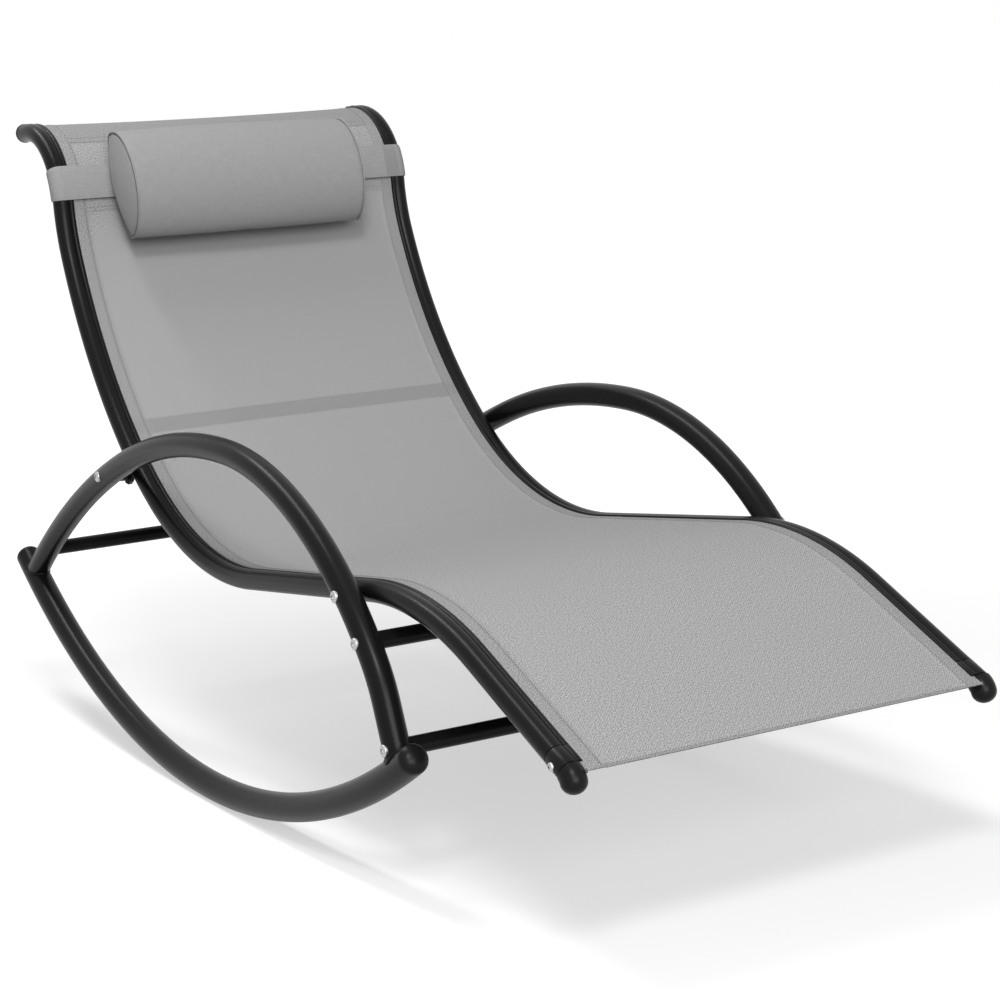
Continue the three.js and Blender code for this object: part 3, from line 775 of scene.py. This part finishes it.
def make_fasteners():
    for name, side in SIDES:
        for place in ("front_lower", "middle", "rear_upper", "crossing"):
            node = f"bolt_{place}_{name}"
            y, z = bar_place(node)
            heading = nearest_heading(hoop_course, hoop_length, y, z)
            make_screw(node, f"bolt_head_{place}_{name}", side, y, z, hoop_half_spacing + hoop_radius,
                       bolt_head_radius, bolt_head_height, hoop_radius, heading)
        node = f"foot_screw_{name}"
        y, z = bar_place(node)
        make_screw(node, f"screw_head_foot_{name}", side, y, z, rail_half_spacing + rail_radius,
                   screw_head_radius, screw_head_height, rail_radius, math.radians(rail_heading))
        dress(f"nut_crossing_{name}", steel)


# Rail end caps

def make_foot_cap(name, side):
    """Collar that carries on the rail's shape, then a ball end that turns down over its tip."""
    x = side * rail_half_spacing
    outline = rail_outline(foot_cap_lip, with_channel=False)
    rings = []
    steps = (
        (foot_cap_end + foot_cap_gap - 0.0003, 0.9), (foot_cap_end, 0.9), (foot_cap_end - 0.0001, 0.985),
        (foot_cap_end - 0.0006, 1.0), (foot_cap_start + 0.0006, 1.0), (foot_cap_start, 0.985),
    )
    for s, share in steps:
        place = place_along(rail_course, s)
        rings.append([section_point(side, u * share, v * share, place) for u, v in outline])
    collar = finish_mesh(f"foot_collar_{name}", skin(f"foot_collar_{name}", rings), plastic, 40)
    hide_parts(f"rail_foot_cap_{name}")
    y, z, heading = place_along(rail_course, foot_cap_start)
    bend = {"start": (y, z, heading + math.pi), "legs": [arc(foot_dome_bend, foot_dome_turn)]}
    length = course_length(bend)
    sides = 48
    rings = [tube_ring(x, place_along(bend, 0), rail_radius * 0.93, sides)]
    rings.append(tube_ring(x, place_along(bend, foot_groove), rail_radius * 0.93, sides))
    rings += [tube_ring(x, place_along(bend, s), foot_dome_radius, sides)
              for s in spread(foot_groove + 0.0003, length, 0.0015)]
    tip = place_along(bend, length)
    for radius, height in dome(foot_dome_radius, 0, foot_dome_radius * 0.92, 16)[1:-1]:
        y, z, turn = tip
        place = (y + height * math.cos(turn), z + height * math.sin(turn), turn)
        rings.append(tube_ring(x, place, radius, sides))
    finish_mesh(f"foot_ball_{name}", skin(f"foot_ball_{name}", rings), plastic, 40)


def make_head_cap(name, side):
    y, z, heading = place_along(rail_course, rail_length)
    profile = [
        (0, -0.014), (0.0074, -0.014), (0.0080, -0.013), (0.0080, 0.0003),
        (head_cap_radius - 0.0005, 0.0003), (head_cap_radius, 0.0009), (head_cap_radius, 0.0022),
    ]
    profile += dome(head_cap_radius, 0.0024, 0.003, 10)
    cap_name = f"head_disc_{name}"
    mesh = spun(cap_name, profile, 48, frame_matrix(side * rail_half_spacing, (y, z, heading)))
    piece = finish_mesh(cap_name, mesh, plastic)
    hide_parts(f"rail_head_cap_{name}")


# Sling

def smooth_step(low_edge, high_edge, value):
    t = min(1.0, max(0.0, (value - low_edge) / (high_edge - low_edge)))
    return t * t * (3 - 2 * t)


def bend_at(s):
    """How sharply the rail turns near a place, from -1 to 1, positive in the seat's hollow."""
    reach = 0.06
    a = place_along(rail_course, max(0, s - reach))[2]
    b = place_along(rail_course, min(rail_length, s + reach))[2]
    return math.tanh((b - a) / 0.35)


def sling_layers(x, s):
    """(raised, layered): the extra height of hems and bands, and how doubled the cloth is there."""
    half = rail_half_spacing - channel_u
    edge = half - abs(x)
    ramp = 0.0012
    side_part = 1 - smooth_step(side_hem - ramp, side_hem, edge)
    head_part = smooth_step(rail_length - head_hem, rail_length - head_hem + ramp, s)
    foot_part = 1 - smooth_step(foot_hem - 0.001, foot_hem, s + sling_foot_reach)
    band_part = smooth_step(cross_band[0], cross_band[0] + ramp, s) * (
        1 - smooth_step(cross_band[1] - ramp, cross_band[1], s))
    upper_part = smooth_step(upper_seam, upper_seam + ramp, s) * 0.4
    layered = max(side_part * 0.7, head_part, band_part, upper_part * 0.6, foot_part)
    raised = hem_rise * max(side_part, head_part, band_part * 0.7, upper_part) + 0.0012 * foot_part
    for line in faint_lines:
        raised += 0.0003 * math.exp(-(((s - line) / 0.002) ** 2))
    return raised, layered


def sling_point(x, s, lift=0.0):
    half = rail_half_spacing - channel_u
    share = min(1.0, abs(x) / half)
    bow = sling_sag * bend_at(s) * (1 - share * share)
    raised, _ = sling_layers(x, s)
    v = channel_v + sling_thickness / 2 + bow + raised + lift
    return raised_point(x, place_along(rail_course, s), v)


def sling_columns():
    half = rail_half_spacing - channel_u
    inner = half - side_hem
    middle = [inner * (2 * i / sling_across - 1) for i in range(sling_across + 1)]
    hem = [half - d for d in (0.0, 0.003, 0.008, 0.015, side_hem - 0.0012, side_hem - 0.0006)]
    return [-value for value in hem] + middle + hem[::-1]


def sling_rows():
    rows = set(spread(-sling_foot_reach, rail_length, sling_step))
    for edge in (*cross_band, rail_length - head_hem, upper_seam, -sling_foot_reach + foot_hem, *faint_lines):
        for step in (-0.0024, -0.0012, -0.0006, 0.0, 0.0006, 0.0012, 0.0024):
            rows.add(edge + step)
    rows = sorted(value for value in rows if -sling_foot_reach <= value <= rail_length)
    kept = [rows[0]]
    for value in rows[1:]:
        if value - kept[-1] > 0.0004:
            kept.append(value)
    return kept


def store(mesh, name, kind, values):
    attribute = mesh.attributes.new(name, kind, "POINT")
    key = "vector" if kind == "FLOAT_VECTOR" else "value"
    flat = [number for value in values for number in value] if kind == "FLOAT_VECTOR" else values
    attribute.data.foreach_set(key, flat)


def make_sling():
    columns, rows = sling_columns(), sling_rows()
    width, count = len(columns), len(rows)
    top, bottom, coordinates, layers = [], [], [], []
    for s in rows:
        for x in columns:
            top.append(sling_point(x, s))
            bottom.append(sling_point(x, s, -sling_thickness))
            coordinates.append((x, s, 0.0))
            layers.append(sling_layers(x, s)[1])
    faces = []
    size = width * count
    for r in range(count - 1):
        for c in range(width - 1):
            a = r * width + c
            faces.append((a, a + 1, a + width + 1, a + width))
            faces.append((size + a, size + a + width, size + a + width + 1, size + a + 1))
    border = list(range(width)) + [r * width + width - 1 for r in range(1, count)]
    border += [(count - 1) * width + c for c in reversed(range(width - 1))]
    border += [r * width for r in reversed(range(1, count - 1))]
    for a, b in zip(border, border[1:] + border[:1]):
        faces.append((a, size + a, size + b, b))
    mesh = bpy.data.meshes.new("sling_sheet")
    mesh.from_pydata([tuple(point) for point in top + bottom], [], faces)
    store(mesh, "weave_place", "FLOAT_VECTOR", coordinates * 2)
    store(mesh, "layer", "FLOAT", layers * 2)
    piece = finish_mesh("sling_sheet", mesh, sling_cloth, 60)
    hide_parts("sling")
    stitches = make_stitches()
    for name, _ in SIDES:
        dress(f"edge_cord_{name}", seam_thread)


def stitch_run(points, faces, start, end, s_of, x_of):
    """Row of short raised threads from start to end along the cloth."""
    count = int((end - start) / stitch_pitch)
    for i in range(count):
        ends = []
        for share in (0.0, 0.5, 1.0):
            t = start + i * stitch_pitch + share * stitch_length
            ends.append(sling_point(x_of(t), s_of(t), 0.0002 if share == 0.5 else -0.0002))
        base = len(points)
        along = (ends[2] - ends[0]).normalized()
        normal = (sling_point(x_of(t), s_of(t), 0.001) - sling_point(x_of(t), s_of(t))).normalized()
        across = along.cross(normal)
        for end_point, size in zip(ends, (0.5, 1.0, 0.5)):
            for k in range(5):
                angle = TAU * k / 5
                offset_by = across * math.cos(angle) + normal * math.sin(angle)
                points.append(end_point + offset_by * stitch_radius * size)
        for r in range(2):
            for k in range(5):
                a, b = base + r * 5 + k, base + r * 5 + (k + 1) % 5
                faces.append((a, b, b + 5, a + 5))
        faces.append(tuple(base + k for k in reversed(range(5))))
        faces.append(tuple(base + 10 + k for k in range(5)))


def make_stitches():
    points, faces = [], []
    half = rail_half_spacing - channel_u
    inset = 0.0025
    for sign in (-1, 1):
        x = sign * (half - side_hem + inset)
        stitch_run(points, faces, -sling_foot_reach + foot_hem, rail_length - 0.002,
                   lambda t: t, lambda t, x=x: x)
    inner = half - side_hem
    rows = [rail_length - head_hem + inset, rail_length - head_hem + inset + 0.0095,
            upper_seam + inset, upper_seam + inset + 0.0055,
            -sling_foot_reach + foot_hem + 0.001]
    for s in rows:
        stitch_run(points, faces, -inner, inner, lambda t, s=s: s, lambda t: t)
    mesh = mesh_from("sling_stitches", points, faces)
    return finish_mesh("sling_stitches", mesh, seam_thread, 80)


# Strap

def strap_loop(growth, detail):
    """(x, v) points once round both rails, from the sitter's side on the right."""
    tube = rail_radius + growth
    half = [(tube * math.cos(a), tube * math.sin(a)) for a in spread(math.pi / 2, 1.5 * math.pi, detail)]
    right = [(rail_half_spacing - u, v) for u, v in half]
    left = [(-x, v) for x, v in reversed(right)]

    def span(start, end):
        return [(start[0] + (end[0] - start[0]) * i / 24, start[1]) for i in range(1, 24)]

    return right + span(right[-1], left[0]) + left + span(left[-1], right[0])


def make_strap():
    detail = math.radians(9)
    inner = strap_loop(strap_clearance, detail)
    outer = strap_loop(strap_clearance + strap_thickness, detail)
    count = len(inner)
    lengths = [0.0]
    for a, b in zip(outer, outer[1:]):
        lengths.append(lengths[-1] + math.dist(a, b))
    start = curl_start + strap_past_curl
    across = 10
    rings, coordinates = [], []
    rim = 0.0004
    shares = [i / across for i in range(across + 1)]
    outline = [(share, 1.0) for share in shares] + [(share, 0.0) for share in reversed(shares)]
    for i in range(count):
        ring = []
        (xi, vi), (xo, vo) = inner[i], outer[i]
        for share, face in outline:
            edge = rim if share in (0.0, 1.0) else 0.0
            mix = face * (1 - edge / strap_thickness) + (1 - face) * edge / strap_thickness
            x, v = xi + (xo - xi) * mix, vi + (vo - vi) * mix
            ring.append(raised_point(x, place_along(rail_course, start + strap_width * share), v))
            coordinates.append((lengths[i], strap_width * share, 0.0))
        rings.append(ring)
    points = sum(rings, [])
    mesh = mesh_from("strap_band", points, ring_faces(count, len(outline), loop=True))
    store(mesh, "weave_place", "FLOAT_VECTOR", coordinates)
    piece = finish_mesh("strap_band", mesh, band_cloth, 50, "pillow")
    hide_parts("pillow_strap")


# Pillow

def pillow_section(x, share, count):
    """Ring of the lens-shaped section at a share of its full size."""
    y, z, _ = offset(place_along(rail_course, curl_start + pillow_past_curl), pillow_stand_off)
    tilt = math.radians(pillow_tilt)
    long_y, long_z = math.cos(tilt), math.sin(tilt)
    front_y, front_z = -long_z, long_y
    ring = []
    for i in range(count):
        angle = TAU * i / count
        along = math.cos(angle)
        rise = math.sin(angle)
        depth = pillow_front if rise > 0 else pillow_back
        out = math.copysign(abs(rise) ** 1.08, rise) * depth
        size = share * pillow_half_length * along
        out *= share
        ring.append(Vector((x, y + size * long_y + out * front_y, z + size * long_z + out * front_z)))
    return ring


def keep_clear(point):
    """Pushes a pillow point off the sling and the strap behind it."""
    best, best_gap = None, None
    for station in pillow_stations:
        y, z, heading = station[1]
        gap_y, gap_z = point.y - y, point.z - z
        distance = math.hypot(gap_y, gap_z)
        if best is None or distance < best:
            best, best_gap = distance, (station, -gap_y * math.sin(heading) + gap_z * math.cos(heading))
    (s, (y, z, heading)), v = best_gap
    strap_low = curl_start + strap_past_curl - 0.004
    strap_high = curl_start + strap_past_curl + strap_width + 0.004
    clear = channel_v + sling_thickness + 0.0015
    if strap_low < s < strap_high:
        clear = rail_radius + strap_clearance + strap_thickness + 0.0006
    if v < clear:
        return raised_point(point.x, (point.y, point.z, heading), clear - v)
    return point


pillow_stations = [
    (s, place_along(rail_course, s)) for s in spread(curl_start - 0.12, curl_start + 0.14, 0.003)
]


def swell(piece, pinned):
    """Fills the cover with air pressure, as a short cloth simulation, and applies the result."""
    scene = bpy.context.scene
    group = piece.vertex_groups.new(name="pinned")
    for index, weight in pinned.items():
        group.add([index], weight, "REPLACE")
    cloth = piece.modifiers.new("Cloth", "CLOTH")
    settings = cloth.settings
    settings.quality = 6
    settings.mass = 0.25
    settings.tension_stiffness = 22
    settings.compression_stiffness = 22
    settings.shear_stiffness = 8
    settings.bending_stiffness = 0.6
    settings.use_pressure = True
    settings.uniform_pressure_force = 4
    settings.vertex_group_mass = "pinned"
    settings.effector_weights.gravity = 0
    cloth.collision_settings.use_collision = False
    cloth.point_cache.frame_start = 1
    cloth.point_cache.frame_end = swell_frames
    for number in range(1, swell_frames + 1):
        scene.frame_set(number)
    graph = bpy.context.evaluated_depsgraph_get()
    swollen = [vertex.co.copy() for vertex in piece.evaluated_get(graph).data.vertices]
    piece.modifiers.remove(cloth)
    piece.vertex_groups.remove(group)
    scene.frame_set(1)
    for vertex, target in zip(piece.data.vertices, swollen):
        move = target - vertex.co
        if move.length > pillow_swell_cap:
            move *= pillow_swell_cap / move.length
        vertex.co += move


def make_pillow():
    random.seed(7)
    count = pillow_around
    rings = []
    for i in range(pillow_end_rings):
        share = (i + 1) / (pillow_end_rings + 1)
        rings.append((-1, share, pillow_end_bulge * (1 - share * share)))
    for i in range(pillow_along + 1):
        rings.append((2 * i / pillow_along - 1, 1.0, 0.0))
    for i in reversed(range(pillow_end_rings)):
        share = (i + 1) / (pillow_end_rings + 1)
        rings.append((1, share, pillow_end_bulge * (1 - share * share)))
    sections, coordinates = [], []
    for along, share, out in rings:
        x = pillow_shift + along * pillow_half_width + math.copysign(out, along)
        waist = 1 - 0.03 * along * along
        ring = pillow_section(x, share * waist, count)
        sections.append(ring)
        for i, point in enumerate(ring):
            spot = (x, i / count * pillow_girth) if share == 1.0 else (point.y, point.z)
            coordinates.append((*spot, 0.0))
    mesh = skin("pillow_cover", sections)
    store(mesh, "weave_place", "FLOAT_VECTOR", coordinates)
    piece = finish_mesh("pillow_cover", mesh, pillow_cloth, 60, "pillow")
    pinned = {}
    for row, (along, share, _) in enumerate(rings):
        for i in range(count):
            held = share < 1.0 or math.sin(TAU * i / count) < -0.55
            if share == 1.0 and abs(along) == 1:
                pinned[row * count + i] = 0.9
            elif held:
                pinned[row * count + i] = 1.0
    swell(piece, pinned)
    for vertex in piece.data.vertices:
        vertex.co = keep_clear(vertex.co)
    seams = []
    for along, row in ((-1, pillow_end_rings), (1, pillow_end_rings + pillow_along)):
        loop = [piece.data.vertices[row * count + i].co.copy() for i in range(count)]
        seams.append((along, loop))
        centre = sum(loop, Vector()) / count
        for i in range(count):
            vertex = piece.data.vertices[row * count + i]
            vertex.co += (centre - vertex.co).normalized() * pillow_seam_draw
    pucker(piece, count)
    soften = piece.modifiers.new("Subdivision", "SUBSURF")
    soften.levels = 1
    soften.render_levels = 1
    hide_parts("pillow")
    for along, loop in seams:
        centre = sum(loop, Vector()) / count
        inner = [point + (centre - point).normalized() * 0.0003 for point in loop]
        side = "left" if along < 0 else "right"
        cord = bead(f"pillow_piping_{side}", inner, pillow_piping_radius, 0.0)
        store(cord, "weave_place", "FLOAT_VECTOR", [tuple(vertex.co) for vertex in cord.vertices])
        finish_mesh(f"pillow_piping_{side}", cord, pillow_cloth, 80, "pillow")
        outward = Vector((math.copysign(pillow_seam_lift, along), 0, 0))
        line = [point + (centre - point).normalized() * pillow_seam_inset + outward for point in loop]
        seam = bead(f"pillow_seam_{side}", line, pillow_seam_radius, 0.25)
        finish_mesh(f"pillow_seam_{side}", seam, seam_thread, 80, "pillow")


def pucker(piece, count):
    """Small gathers where the sewn ends pull on the cover."""
    phases = [random.uniform(0, TAU) for _ in range(5)]
    for row in range(pillow_end_rings, pillow_end_rings + pillow_along + 1):
        along = (row - pillow_end_rings) / pillow_along
        near = math.exp(-min(along, 1 - along) / 0.035)
        if min(along, 1 - along) == 0:
            continue
        for i in range(count):
            vertex = piece.data.vertices[row * count + i]
            wave = sum(math.sin((11 + 9 * k) * TAU * i / count + phase) for k, phase in enumerate(phases)) / 5
            vertex.co += vertex.normal * wave * pillow_gather * near


# Room, light and camera

def backdrop_rays(nodes, links):
    """One where the camera, a reflection or a see-through ray meets the backdrop, else zero."""
    ray = nodes.new("ShaderNodeLightPath")
    total = ray.outputs["Is Camera Ray"]
    for kind in ("Is Glossy Ray", "Is Transmission Ray"):
        join = nodes.new("ShaderNodeMath")
        join.operation = "MAXIMUM"
        links.new(total, join.inputs[0])
        links.new(ray.outputs[kind], join.inputs[1])
        total = join.outputs[0]
    return total


def make_floor():
    bpy.ops.mesh.primitive_plane_add(size=floor_size, location=(0, 0, -floor_drop))
    floor = bpy.context.object
    floor.name = "studio_floor"
    n = Nodes("studio_floor")
    grain = n.noise(n.place(), 3, 3)
    n.set(color=n.mix(grain, shade(0.44), shade(0.46)), rough=0.9, specular=0.0)
    glow = n.new("ShaderNodeEmission")
    glow.inputs["Color"].default_value = (1.0, 1.0, 1.0, 1.0)
    away = n.new("ShaderNodeVectorMath", operation="LENGTH")
    n.link(n.place(), away.inputs[0])
    rise = n.new("ShaderNodeMapRange", interpolation_type="SMOOTHSTEP")
    n.link(away.outputs["Value"], rise.inputs["Value"])
    for socket, value in zip(("From Min", "From Max", "To Min", "To Max"), (*glow_rise, near_glow, far_glow)):
        rise.inputs[socket].default_value = value
    seen = backdrop_rays(n.tree.nodes, n.tree.links)
    n.link(n.math("MULTIPLY", seen, rise.outputs[0]), glow.inputs["Strength"])
    both = n.new("ShaderNodeAddShader")
    n.link(n.shader.outputs[0], both.inputs[0])
    n.link(glow.outputs[0], both.inputs[1])
    n.link(both.outputs[0], n.output.inputs[0])
    floor.data.materials.append(n.material)


def make_world():
    world = bpy.data.worlds.new("studio")
    bpy.context.scene.world = world
    world.use_nodes = True
    nodes, links = world.node_tree.nodes, world.node_tree.links
    nodes.clear()
    output = nodes.new("ShaderNodeOutputWorld")
    white = (1.0, 1.0, 1.0, 1.0)
    soft = nodes.new("ShaderNodeBackground")
    soft.inputs["Color"].default_value = white
    soft.inputs["Strength"].default_value = room_light
    seen = nodes.new("ShaderNodeBackground")
    seen.inputs["Color"].default_value = white
    seen.inputs["Strength"].default_value = 1.0
    mix = nodes.new("ShaderNodeMixShader")
    links.new(backdrop_rays(nodes, links), mix.inputs[0])
    links.new(soft.outputs[0], mix.inputs[1])
    links.new(seen.outputs[0], mix.inputs[2])
    links.new(mix.outputs[0], output.inputs[0])


def area_light(name, place, target, size, power):
    data = bpy.data.lights.new(name, "AREA")
    data.shape = "RECTANGLE"
    data.size, data.size_y = size
    data.energy = power
    light = bpy.data.objects.new(name, data)
    bpy.context.scene.collection.objects.link(light)
    light.location = place
    light.rotation_euler = (Vector(target) - Vector(place)).to_track_quat("-Z", "Y").to_euler()


def make_lights():
    area_light("key", (-1.4, -2.6, 3.1), (0, 0, 0.4), (0.9, 0.75), 80)
    area_light("fill", (-1.6, -6.3, 2.7), (0, 0, 0.5), (4.2, 2.4), 300)
    area_light("top", (-0.85, 1.2, 3.0), (-0.85, 1.2, 0), (0.35, 2.8), 56)


def make_camera():
    azimuth, elevation = math.radians(camera_azimuth), math.radians(camera_elevation)
    forward = Vector((math.sin(azimuth) * math.cos(elevation), math.cos(azimuth) * math.cos(elevation),
                      -math.sin(elevation)))
    right = Vector((math.cos(azimuth), -math.sin(azimuth), 0))
    lean = Matrix.Rotation(math.radians(camera_lean), 3, "X")
    forward, right = lean @ forward, lean @ right
    up = right.cross(forward)
    data = bpy.data.cameras.new("camera")
    data.sensor_fit = "HORIZONTAL"
    data.sensor_width = sensor_width
    data.lens = camera_lens
    data.clip_end = 200
    camera = bpy.data.objects.new("camera", data)
    bpy.context.scene.collection.objects.link(camera)
    matrix = Matrix((right, up, -forward)).transposed().to_4x4()
    matrix.translation = Vector(camera_from_rail) + Vector((0, origin_y, origin_z))
    camera.matrix_world = matrix
    bpy.context.scene.camera = camera


make_camera()
for side_name, side_sign in SIDES:
    make_rail(side_name, side_sign)
    make_rocker(side_name, side_sign)
    make_hoop(side_name, side_sign)
    make_foot_cap(side_name, side_sign)
    make_head_cap(side_name, side_sign)
    dress(f"rear_bracket_{side_name}", coat)
make_bars()
make_fasteners()
make_sling()
make_strap()
make_pillow()
make_floor()
make_world()
make_lights()
bpy.context.scene.view_settings.view_transform = "Standard"
